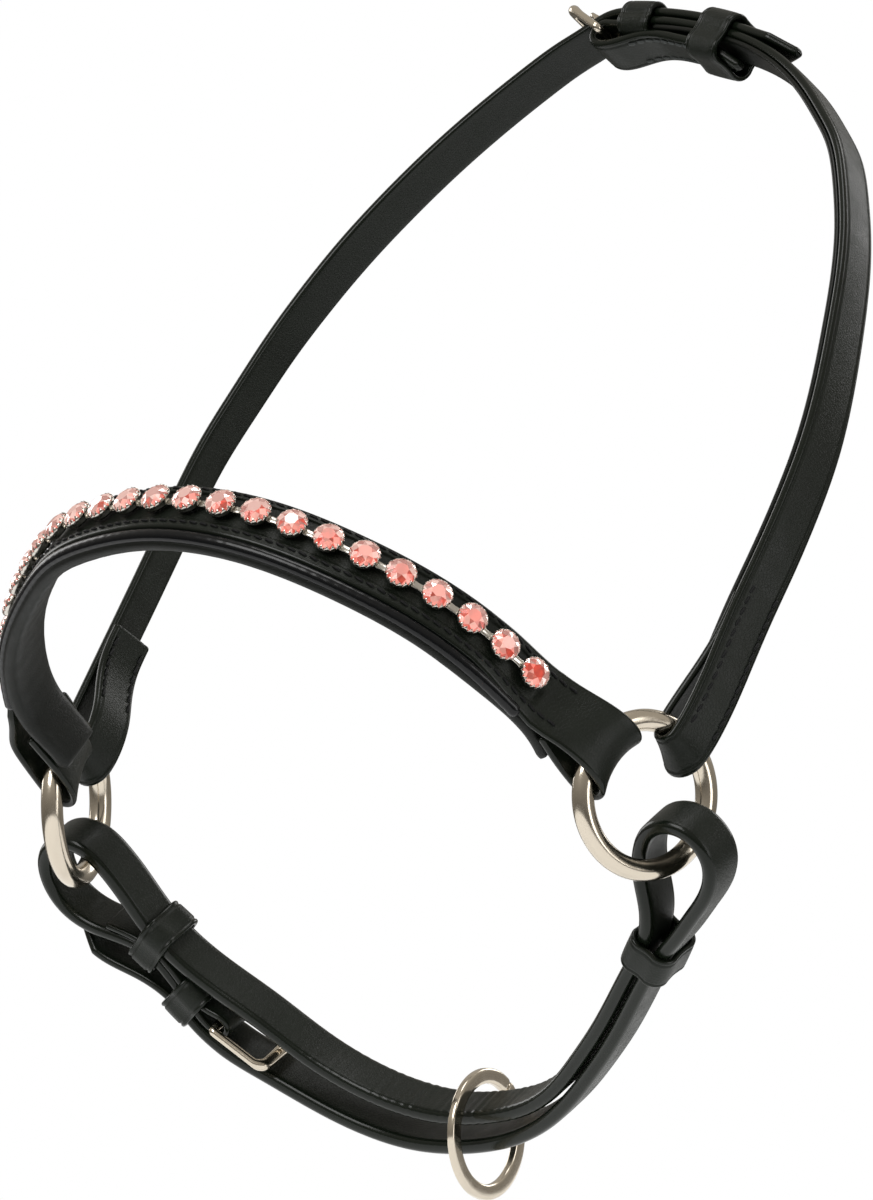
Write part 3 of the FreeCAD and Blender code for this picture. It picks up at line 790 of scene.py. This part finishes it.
def edge_roll(start, last, step=0.8, pucker=0.012):
    """Soft cord under thin leather along the lower edge, puckered a little at every stitch."""
    across = -NOSE_WIDTH / 2 - ROLL_OUTSET
    rows = []
    for s in np.linspace(start, last, int((last - start) / step)):
        (x, run), (tx, ty) = nose_line.frame(s)
        out = nose.turn(ty, -tx)
        near = min(s - start, last - s)
        r = ROLL_RADIUS * math.sqrt(max(0.02, 1 - (1 - min(1, near / ROLL_RADIUS)) ** 2))
        r = r * (1 + pucker * math.sin(2 * math.pi * s / STITCH_PITCH))
        row = []
        for k in range(ROLL_SIDES):
            a = 2 * math.pi * k / ROLL_SIDES
            height = r * math.sin(a) - ROLL_DEPTH
            row.append(nose.at(x, run, across + r * math.cos(a)) + out * height * MM)
        rows.append(row)
    return new_object("noseband_piping", *join_rows(rows), edge=[0.0] * (len(rows) * ROLL_SIDES))


finish_piece(edge_roll(2.0, nose_line.length - 2), "noseband", patent_leather,
             ["noseband_piping"])

# padded lining: a soft channel that bulges below the roll and turns over the upper edge
pad_points = [(91.6, 24), (92.6, 32)] + NOSE_LINE[1:-1] + [(-93.6, 34), (-91.8, 26), (-91, 20)]
pad_line = Line(pad_points)
pad_rows = []
# (across, height) once round the lining
PAD_SECTION = [(7.0, -1.3), (7.4, -2.0), (7.2, -3.2), (6.2, -4.3), (4.2, -5.0), (1.2, -5.4), (-2.0, -5.6),
               (-5.2, -5.6), (-8.0, -5.5), (-10.2, -5.1), (-11.6, -4.3), (-12.1, -3.2), (-11.9, -2.0),
               (-11.2, -1.25), (-9.6, -1.15), (-6.0, -1.15), (0.0, -1.15), (5.0, -1.15)]
section_line = Line(PAD_SECTION + PAD_SECTION[:1])
for s in np.linspace(0, pad_line.length, PAD_ROWS):
    (x, run), (tx, ty) = pad_line.frame(s)
    out = nose.turn(ty, -tx)
    near = min(s, pad_line.length - s)
    swell = 1 + 0.025 * math.sin(2 * math.pi * s / 6.8) + 0.02 * math.sin(2 * math.pi * s / 23)
    close = math.sqrt(max(0.03, 1 - (1 - min(1, near / 2.2)) ** 2))
    taper = 0.8 + 0.2 * smooth_step(near / 45)
    row = []
    for k in range(PAD_SIDES):
        a, h = section_line.at(section_line.length * k / PAD_SIDES)
        deep = -3.9 + (h + 3.9) * close * (swell if h < -3 else 1)
        wide = -2.2 + (a + 2.2) * (0.9 + 0.1 * close) * taper
        row.append(nose.at(x, run, wide) + out * deep * MM)
    pad_rows.append(row)
padding = new_object("noseband_padded_lining", *join_rows(pad_rows),
                     edge=[0.0] * (len(pad_rows) * PAD_SIDES))
finish_piece(padding, "noseband", shaded_lining_leather, ["noseband_padding", "noseband_lining"])

# ---- cup chain -----------------------------------------------------------
GIRDLE = 4.15
GIRDLE_HEIGHT = 2.75


def cup(pile, base, lead, side, out):
    """Stamped cup with a saw-toothed rim bent over the stone."""
    teeth = 16
    n = teeth * 4
    profile = [(2.8, 0.0), (3.4, 0.12), (3.9, 0.7), (4.2, 1.6), (4.34, 2.2)]
    rows = []
    for radius, height in profile:
        rows.append([(radius, height)] * n)
    tips = []
    for k in range(n):
        phase = abs(((k / 4) % 1) - 0.5) * 2
        tips.append((4.42 - 0.6 * phase ** 2, 2.25 + 1.25 * phase))
    rows.append(tips)
    rows.append([(r - 0.14, h - 0.02) for r, h in tips])
    rows.append([(4.2, 2.1)] * n)
    rows.append([(3.7, 1.4)] * n)
    placed = []
    for row in rows:
        spots = []
        for k, (r, h) in enumerate(row):
            a = 2 * math.pi * k / n
            spots.append(base + (lead * math.cos(a) + side * math.sin(a)) * r * MM + out * h * MM)
        placed.append(spots)
    pile.add(*join_rows(placed))


def stone(pile, base, lead, side, out, turn):
    """Brilliant cut: table, star, kite and girdle facets above, foiled facets below."""
    def ring(count, radius, height, start):
        spots = []
        for k in range(count):
            a = start + turn + 2 * math.pi * k / count
            spots.append(base + (lead * math.cos(a) + side * math.sin(a)) * radius * MM + out * height * MM)
        return spots

    step = math.pi / 8
    top = GIRDLE_HEIGHT + 1.45
    table = ring(8, GIRDLE * 0.46, top, step)
    kite = ring(8, GIRDLE * 0.76, GIRDLE_HEIGHT + 0.98, 0)
    rim = ring(16, GIRDLE, GIRDLE_HEIGHT + 0.12, 0)
    low = ring(16, GIRDLE, GIRDLE_HEIGHT - 0.12, 0)
    deep = ring(8, GIRDLE * 0.55, GIRDLE_HEIGHT - 1.25, 0)
    culet = [base + out * (GIRDLE_HEIGHT - 2.5) * MM]
    verts = table + kite + rim + low + deep + culet
    faces = [tuple(range(8))]
    for k in range(8):
        j = (k + 1) % 8
        t0, t1 = k, j
        m0, m1 = 8 + k, 8 + j
        faces.append((t0, m1, t1))
        r0 = 16 + 2 * k
        r1 = 16 + 2 * k + 1
        r2 = 16 + (2 * k + 2) % 16
        faces.append((t0, m0, r1, m1))
        faces.append((m0, r0, r1))
        faces.append((m1, r1, r2))
    for k in range(16):
        j = (k + 1) % 16
        faces.append((16 + k, 32 + k, 32 + j, 16 + j))
    pile.add(verts, faces, 0)
    base_faces = []
    for k in range(8):
        j = (k + 1) % 8
        l0, l1, l2 = 32 + 2 * k, 32 + 2 * k + 1, 32 + (2 * k + 2) % 16
        d0, d1 = 48 + k, 48 + j
        base_faces.append((l0, d0, l1))
        base_faces.append((l2, l1, d1))
        base_faces.append((l1, d0, 56, d1))
    shift = len(pile.verts) - len(verts)
    pile.faces.extend(tuple(shift + v for v in face) for face in base_faces)
    pile.kinds.extend([1] * len(base_faces))


cups = Pile()
stones = Pile()
links = Pile()
STRIP_TOP = NOSE_LEATHER / 2 + 0.1
seats = along_nose([FIRST_STONE + STONE_PITCH * k for k in range(STONE_COUNT)])
gaps = along_nose([FIRST_STONE + STONE_PITCH * (k + 0.5) for k in range(STONE_COUNT - 1)])
for i, (x, run, lead, out) in enumerate(seats):
    seat = nose.at(x, run, STONE_ACROSS) + out * STRIP_TOP * MM
    cup(cups, seat, lead, nose.across, out)
    stone(stones, seat, lead, nose.across, out, 0.37 * i)
for x, run, lead, out in gaps:
    spot = nose.at(x, run, STONE_ACROSS) + out * (STRIP_TOP + 0.55) * MM
    path = [spot + lead * (t * 1.9) * MM for t in (-1, -0.6, 0, 0.6, 1)]
    rows = tube(path, [1.3, 1.15, 1.05, 1.15, 1.3], out, flat=0.35)
    links.add(*join_rows(rows))
finish_piece(cups.done("crystal_cups"), "noseband", silver, ["crystal_cups"])
gems = stones.done("crystal_stones", smooth=False)
# each cut face gets its own painted brightness, spread evenly between 0 and 1: painted glints and shade for
# the glass and foil
painted_glint_layer = gems.data.attributes.new("painted_facet_glint", "FLOAT", "FACE")
facet_count = len(gems.data.polygons)
painted_glint_layer.data.foreach_set("value", [(k * 0.618034 + (k // 7) * 0.37) % 1.0 for k in range(facet_count)])
finish_piece(gems, "noseband", glass, ["crystal_stones"])
gems.data.materials.append(foil)
finish_piece(links.done("crystal_links"), "noseband", silver, ["crystal_links"])

# ---- chin strap ----------------------------------------------------------
lap = BAR_LAP + CHIN_TURNBACK / 2
chin_back = [(-105.9, 36.9), (-100.7, 39.1), (-92.2, 45), (-87.4, 54), (-84.3, 60.8), (-80.8, 64.2)]
chin_bar = arc(CHIN_BAR, lap, -48, 132, steps=4)
chin_leg = [(-86.4, 63), (-89.9, 55.2), (-94.2, 46.9), (-102, 41.8), (-112.2, 37.8), (-119, 32),
            (-121.3, 24)]
right_loop = [(-119.4, 17), (-115.4, 13), (-109.2, 11.6), (-103.2, 14), (-98.8, 20.2), (-96, 27)]
chin_inner = [(-92.6, 37), (-86.2, 48), (-66.6, 66.4), (-53.2, 79), (-42, 87), (-25.5, 94.4), (-10, 97.4),
              (4.4, 97), (20, 94.1), (33.6, 87.7), (45.7, 78.9), (56.8, 69.9), (69.2, 58.6), (78.9, 49.5),
              (87.4, 41.2)]
left_loop = [(92.8, 31.8), (95.6, 21.2), (99.6, 12.6), (106.2, 6.4), (113, 5.2), (119.4, 8.2),
             (122.2, 15.4), (119.2, 23.4), (108.6, 33.2)]
chin_outer = [(98.4, 41), (89.9, 46.9), (82.6, 53), (72.6, 62.4), (60.8, 73.2), (48.4, 83.2), (25, 98.6),
              (9, 104.4), (-10, 106.8), (-27.8, 105.6), (-51.8, 96.6), (-71, 84.6), (-81.9, 76.9),
              (-88.6, 68.8), (-93.4, 60.2), (-102, 52.8), (-112.6, 46.6), (-119, 38.4)]
chin_points = chin_back + chin_bar + chin_leg + right_loop + chin_inner + left_loop + chin_outer
thin_until = len(chin_back) + len(chin_bar)
chin_thick = [(0, CHIN_TURNBACK), (thin_until - 1, CHIN_TURNBACK), (thin_until + 2, CHIN_LEG),
              (thin_until + len(chin_leg), CHIN_LEATHER),
              (len(chin_points) - 6, CHIN_LEATHER), (len(chin_points) - 4, 2.6), (len(chin_points), 2.6)]
chin_line = Line(chin_points)
chin_middle = chin_line.distance(thin_until + len(chin_leg) + len(right_loop) + 6)


def chin_wrinkles(s, a):
    """Shallow creases where the inner layer is bent at the middle of the chin."""
    near = math.exp(-((s - chin_middle) / 38) ** 2)
    return near * 0.2 * math.sin(s * 2.1 + 1.6 * a) * (0.6 + 0.4 * math.sin(s * 0.53 + 1.0))


chin_strap = Strap(chin, chin_points, chin_thick, CHIN_WIDTH, pointed_at=("end",), wave=chin_wrinkles,
                   rolled=1.9, crease=0)
finish_piece(chin_strap.build("chin_strap"), "chin", bridle_leather, ["chin_strap"])
keeper("chin_fixed_keeper", chin, (-88.6, 61.5), (0.54, 0.84), 11.8, 9, "chin")
keeper("chin_far_keeper", chin, (-92.8, 44.1), (0.62, 0.78), 13.2, 8.5, "chin_far_keeper")
keeper("chin_near_keeper", chin, (86.6, 46.4), (-0.7, 0.71), 11.5, 11, "chin_near_keeper")

# ---- thread --------------------------------------------------------------
crown_rows = Pile()
left_line = left_strap.line
tab_bottom = left_line.distance(n_foot - 3)
for across in (-3.0, 4.7):
    stitch_row(crown_rows, left_strap, tab_bottom + 5, tab_bottom + 47, across)
finish_piece(crown_rows.done("crown_thread"), "headpiece", black_thread, ["crown_thread"])

chape_rows = Pile()
back_start = left_line.distance(len(left_points) - 4)
for across in (-4.2, 4.2):
    stitch_row(chape_rows, left_strap, back_start - 3, left_line.length - 7, across, pitch=3.0)
finish_piece(chape_rows.done("crown_chape_thread"), "headpiece", grey_thread, [])

foot_rows = Pile()
billet_end = billet.line.length
for across in (-4.7, 4.7):
    stitch_row(foot_rows, billet, billet_end - 22, billet_end - 3, across)
finish_piece(foot_rows.done("crown_right_thread"), "headpiece", black_thread, [])

nose_rows = Pile()
for across in (-5.6, 6.75):
    stitch_row(nose_rows, strip, chain_start - 6, chain_start + nose_line.length + 4, across)
finish_piece(nose_rows.done("noseband_thread"), "noseband", black_thread, ["noseband_thread"])

# ---- lead ring -----------------------------------------------------------
LEAD_OUTER = 17.8
LEAD_INNER = 13.6
LEAD_DEPTH = 2.4
LEAD_LIFT = 1.25
LEAD_YAW = math.radians(9)
LEAD_SEAM = math.radians(128)
SQUARENESS = 0.45
lead_top = chin.at(-3.6, 95.1, 6.4)
lead_centre = lead_top + Vector((0, 0, LEAD_LIFT - LEAD_INNER)) * MM
lead_axis = Vector((math.cos(LEAD_YAW), math.sin(LEAD_YAW), 0))
lead_side = Vector((-math.sin(LEAD_YAW), math.cos(LEAD_YAW), 0))
rows = []
band_mid = (LEAD_OUTER + LEAD_INNER) / 2
for k in range(LEAD_STEPS):
    a = LEAD_SEAM + 2 * math.pi * (k + 0.08) / LEAD_STEPS
    # a hairline seam where the band's two ends meet
    shrink = 0.9 if k in (0, LEAD_STEPS - 1) else 1.0
    spoke = lead_side * -math.cos(a) + Vector((0, 0, 1)) * math.sin(a)
    row = []
    for i in range(28):
        t = 2 * math.pi * i / 28
        c, s = math.cos(t), math.sin(t)
        r = (LEAD_OUTER - LEAD_INNER) / 2 * math.copysign(abs(c) ** SQUARENESS, c) * shrink
        d = LEAD_DEPTH / 2 * math.copysign(abs(s) ** SQUARENESS, s) * shrink
        row.append(lead_centre + spoke * (band_mid + r) * MM + lead_axis * d * MM)
    rows.append(row)
finish_piece(new_object("lead_ring", *join_rows(rows)), "lead_ring", nickel, ["lead_ring"])

# ---- stage, light and camera ----------------------------------------------
FLOOR = -0.33


def plain_floor():
    """White paper disc under the headcollar."""
    rows = []
    for radius in (0.001, 0.2, 0.35, 0.45):
        rows.append([Vector((radius * math.cos(a), radius * math.sin(a) - 0.1, FLOOR))
                     for a in np.linspace(0, 2 * math.pi, 64, endpoint=False)])
    verts, faces = join_rows(rows, ends=False)
    floor = new_object("floor", verts, faces)
    paper, tree, shader = material("pale_floor", Base_Color=linear("#f4f4f3"), Roughness=0.9,
                                   Emission_Color=(1, 1, 1, 1), Emission_Strength=0.55)
    place = add(tree, "ShaderNodeTexCoord").outputs["Object"]
    tooth = add(tree, "ShaderNodeTexNoise", {"Scale": 900.0}, {"Vector": place})
    bump = add(tree, "ShaderNodeBump", {"Strength": 0.05, "Distance": 0.0002},
               {"Height": tooth.outputs["Fac"]})
    tree.links.new(bump.outputs["Normal"], shader.inputs["Normal"])
    floor.data.materials.append(paper)


plain_floor()

TARGET = Vector((0.0154, -0.1138, -0.1468))
VIEW = Vector((0.6756, -0.7373, 0.0))
RIGHT = Vector((0.7373, 0.6756, 0.0))
UP = Vector((0, 0, 1))
DISTANCE = 9.0
FRAME_HEIGHT = 0.3215
SENSOR = 24.0


def softbox(name, direction, distance, width, height, power):
    lamp = bpy.data.lights.new(name, "AREA")
    lamp.shape = "RECTANGLE"
    lamp.size = width
    lamp.size_y = height
    lamp.energy = power
    obj = bpy.data.objects.new(name, lamp)
    bpy.context.scene.collection.objects.link(obj)
    obj.location = TARGET + direction.normalized() * distance
    obj.rotation_euler = (TARGET - obj.location).to_track_quat("-Z", "Y").to_euler()


softbox("key", VIEW + RIGHT * -0.9 + UP, 1.4, 0.7, 0.7, 9)
softbox("fill", VIEW * 0.9 + RIGHT * 1.3 + UP * 0.25, 1.5, 0.5, 1.1, 5)
softbox("top", VIEW * 0.1 + UP, 1.3, 0.5, 0.5, 3.6)
softbox("rim", VIEW * -0.8 + RIGHT * 0.9 + UP * 0.6, 1.5, 0.6, 0.8, 5)
softbox("back", VIEW * -0.9 + RIGHT * -0.9 + UP * 0.4, 1.5, 0.6, 0.8, 4)

world = bpy.data.worlds.new("studio")
bpy.context.scene.world = world
world.use_nodes = True
tree = world.node_tree
tree.nodes.clear()
sky = add(tree, "ShaderNodeBackground", {"Color": linear("#e2e0da"), "Strength": 0.13})
where = add(tree, "ShaderNodeTexCoord")
height = add(tree, "ShaderNodeSeparateXYZ", {}, {0: where.outputs["Generated"]})
rise = add(tree, "ShaderNodeMapRange", {1: -0.3, 2: 0.5, 3: 0.14, 4: 0.55}, {0: height.outputs["Z"]})
mirror = add(tree, "ShaderNodeBackground", {"Color": linear("#f0eae0")}, {"Strength": rise.outputs[0]})
paper = add(tree, "ShaderNodeBackground", {"Color": (1, 1, 1, 1), "Strength": 1.0})
ray = add(tree, "ShaderNodeLightPath")
around = add(tree, "ShaderNodeMixShader", {}, {0: ray.outputs["Is Glossy Ray"], 1: sky.outputs[0],
                                               2: mirror.outputs[0]})
mixed = add(tree, "ShaderNodeMixShader", {}, {0: ray.outputs["Is Camera Ray"], 1: around.outputs[0],
                                              2: paper.outputs[0]})
add(tree, "ShaderNodeOutputWorld", {}, {"Surface": mixed.outputs[0]})

camera_data = bpy.data.cameras.new("camera")
camera_data.sensor_fit = "VERTICAL"
camera_data.sensor_height = SENSOR
camera_data.lens = SENSOR * DISTANCE / FRAME_HEIGHT
camera_data.clip_end = 50
camera = bpy.data.objects.new("camera", camera_data)
bpy.context.scene.collection.objects.link(camera)
camera.location = TARGET + VIEW.normalized() * DISTANCE
camera.rotation_euler = (-VIEW).to_track_quat("-Z", "Y").to_euler()
bpy.context.scene.camera = camera
bpy.context.scene.view_settings.view_transform = "Standard"
